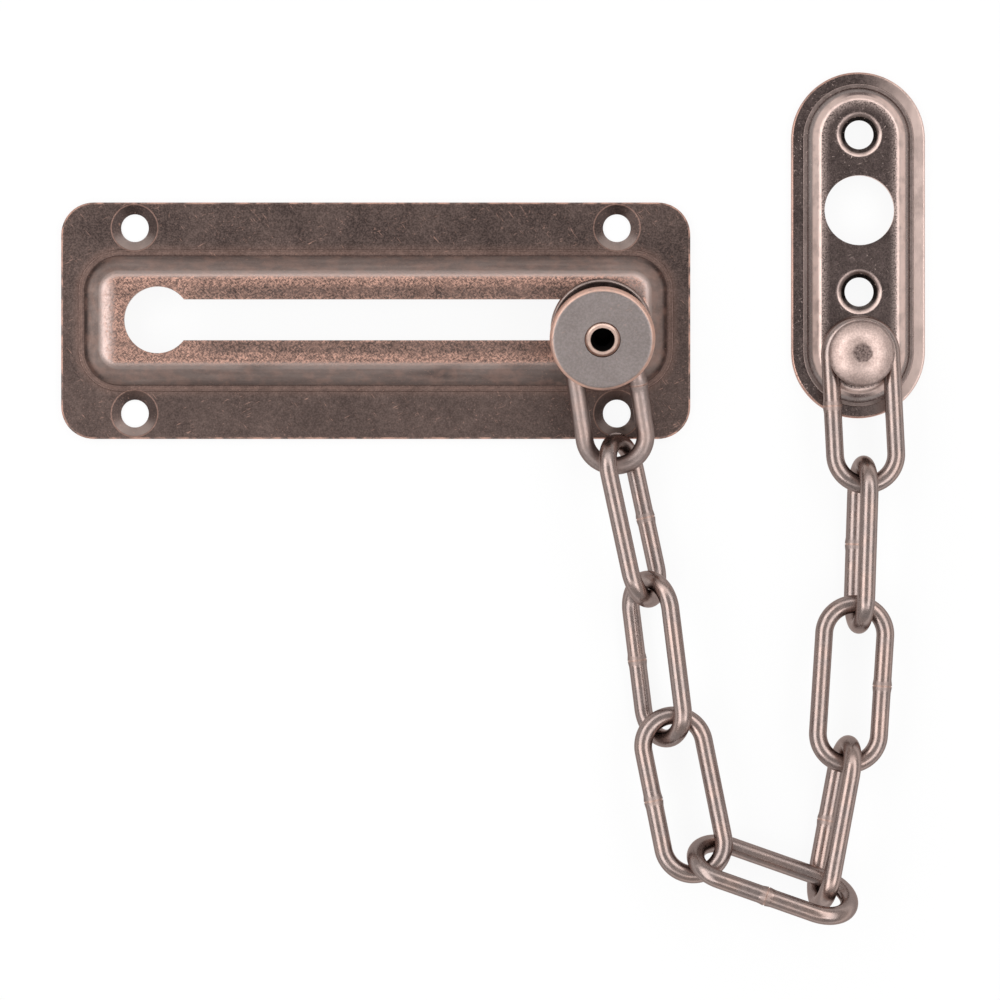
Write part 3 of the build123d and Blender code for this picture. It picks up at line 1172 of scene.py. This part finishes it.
@dataclass
class Chain:
    """The nine wire links."""

    count: int = 9
    finish: WirePatina = WIRE
    dull_finish: WirePatina = DULL_WIRE
    dull: tuple[int, ...] = (1,)

    def build(self, nodes: dict[str, bpy.types.Object]) -> list[str]:
        """Dresses the links.

        Args:
            nodes: the CAD nodes by name.

        Returns:
            The names of its pieces.
        """
        names = []
        for number in range(1, self.count + 1):
            finish = self.dull_finish if number in self.dull else self.finish
            name = f"chain_link_{number}"
            dress(nodes[name], finish.material(nodes[name]))
            names.append(name)
        return names


@dataclass
class Keeper:
    """The keeper plate and its stud."""

    plate: str = "keeper_plate"
    stud: str = "keeper_stud"
    plate_finish: KeeperPatina = KEEPER
    stud_finish: StudPatina = STUD

    def build(self, nodes: dict[str, bpy.types.Object]) -> list[str]:
        """Dresses the keeper.

        Args:
            nodes: the CAD nodes by name.

        Returns:
            The names of its pieces.
        """
        dress(nodes[self.plate], self.plate_finish.material(nodes[self.plate]))
        dress(nodes[self.stud], self.stud_finish.material(nodes[self.stud]))
        return [self.plate, self.stud]


@dataclass
class Softbox:
    """A long lamp that lights the metal from one side: its size is its length and its depth."""

    name: str
    lean: float
    turn: float
    size: Pair
    level: float
    reach: float = 0.8

    def build(self, aim: Vector) -> bpy.types.Object:
        """Makes the lamp.

        Args:
            aim: the point that it faces.

        Returns:
            The lamp.
        """
        lean, turn = math.radians(self.lean), math.radians(self.turn)
        way = Vector((math.sin(lean) * math.cos(turn), math.sin(lean) * math.sin(turn), math.cos(lean)))
        data = bpy.data.lights.new(self.name, "AREA")
        data.shape = "RECTANGLE"
        data.size, data.size_y = self.size
        data.energy = self.level * math.pi * self.size[0] * self.size[1]
        lamp = bpy.data.objects.new(self.name, data)
        lamp.location = aim + way * self.reach
        lamp.rotation_mode = "QUATERNION"
        lamp.rotation_quaternion = (-way).to_track_quat("-Z", "Y")
        lamp.visible_camera = False
        bpy.context.scene.collection.objects.link(lamp)
        return lamp


@dataclass
class Studio:
    """Floor, lamps, surroundings and camera."""

    look_at: Pair = (23.7 * MM, -34.2 * MM)
    distance: float = 850 * MM
    view_width: float = 191 * MM
    sensor: float = 36.0
    clip: Pair = (0.05, 20.0)
    floor_size: float = 3.0
    floor_drop: float = 0.15 * MM
    floor_glow: float = 0.90
    paper: Colour = (0.9, 0.9, 0.9)
    # Height and brightness of the surroundings, from the horizon at 0 to straight above at 1.
    sky: tuple[Pair, ...] = ((0.0, 0.55), (0.25, 0.45), (0.70, 0.36), (0.94, 0.40), (1.0, 0.42))
    lamps: list[Softbox] = field(
        default_factory=lambda: [
            Softbox("softbox_left", lean=41.0, turn=180.0, size=(1.2, 0.50), level=2.1),
            Softbox("softbox_right", lean=39.0, turn=0.0, size=(1.2, 0.46), level=1.8),
            Softbox("softbox_top", lean=46.0, turn=90.0, size=(1.0, 0.36), level=1.3),
            Softbox("softbox_front", lean=34.0, turn=-90.0, size=(1.0, 0.24), level=0.9),
        ]
    )

    def build(self) -> None:
        """Makes the whole stage."""
        self._floor()
        self._surroundings()
        self._camera()
        aim = Vector((self.look_at[0], self.look_at[1], 0.0))
        for lamp in self.lamps:
            lamp.build(aim)
        bpy.context.scene.view_settings.view_transform = "Standard"

    def _floor(self) -> None:
        """A white floor that keeps the shadow and glows enough to stay white."""
        half = self.floor_size / 2
        mesh = bpy.data.meshes.new("floor")
        corners = [(-half, -half), (half, -half), (half, half), (-half, half)]
        mesh.from_pydata([(x, y, -self.floor_drop) for x, y in corners], [], [(0, 1, 2, 3)])
        floor = bpy.data.objects.new("floor", mesh)
        bpy.context.scene.collection.objects.link(floor)
        made = bpy.data.materials.new("white_floor")
        made.use_nodes = True
        graph = Graph(made.node_tree)
        paper = graph.node("ShaderNodeBsdfDiffuse")
        paper.inputs["Color"].default_value = (*self.paper, 1.0)
        glow = graph.node("ShaderNodeEmission")
        path = graph.node("ShaderNodeLightPath")
        seen = graph.number(Sum.ADD, path.outputs["Is Camera Ray"], path.outputs["Is Glossy Ray"], held=True)
        seen = graph.number(Sum.ADD, seen, path.outputs["Is Transmission Ray"], held=True)
        mixed = graph.node("ShaderNodeMixShader")
        graph.link(graph.number(Sum.TIMES, seen, self.floor_glow), mixed.inputs["Fac"])
        graph.link(paper.outputs["BSDF"], mixed.inputs[1])
        graph.link(glow.outputs["Emission"], mixed.inputs[2])
        output = graph.node("ShaderNodeOutputMaterial")
        graph.link(mixed.outputs["Shader"], output.inputs["Surface"])
        mesh.materials.append(made)

    def _surroundings(self) -> None:
        """Pale walls that darken upwards, under a slightly paler ceiling."""
        world = bpy.data.worlds.new("studio")
        bpy.context.scene.world = world
        world.use_nodes = True
        graph = Graph(world.node_tree)
        height = graph.parts(graph.node("ShaderNodeTexCoord").outputs["Generated"])[2]
        shade = graph.node("ShaderNodeValToRGB")
        stops = shade.color_ramp.elements
        for position, level in self.sky[1:-1]:
            stops.new(position).color = (level, level, level, 1.0)
        for element, (_, level) in ((stops[0], self.sky[0]), (stops[len(stops) - 1], self.sky[-1])):
            element.color = (level, level, level, 1.0)
        graph.link(height, shade.inputs["Fac"])
        sky = graph.node("ShaderNodeBackground")
        graph.link(shade.outputs["Color"], sky.inputs["Color"])
        output = graph.node("ShaderNodeOutputWorld")
        graph.link(sky.outputs["Background"], output.inputs["Surface"])

    def _camera(self) -> None:
        """Looks straight down on the part, as the photograph does."""
        data = bpy.data.cameras.new("camera")
        data.sensor_width = self.sensor
        data.lens = self.sensor * self.distance / self.view_width
        data.clip_start, data.clip_end = self.clip
        camera = bpy.data.objects.new("camera", data)
        camera.location = (self.look_at[0], self.look_at[1], self.distance)
        bpy.context.scene.collection.objects.link(camera)
        bpy.context.scene.camera = camera


def main() -> None:
    """Builds the dressed part and its stage."""
    logging.basicConfig(level=logging.INFO, format="%(name)s: %(message)s")
    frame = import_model()
    for group in (TrackPlate(), Button(), Chain(), Keeper()):
        for piece in group.build(frame["nodes"]):
            LOG.info("%s: %s", type(group).__name__, piece)
    Studio().build()


if __name__ == "__main__":
    main()
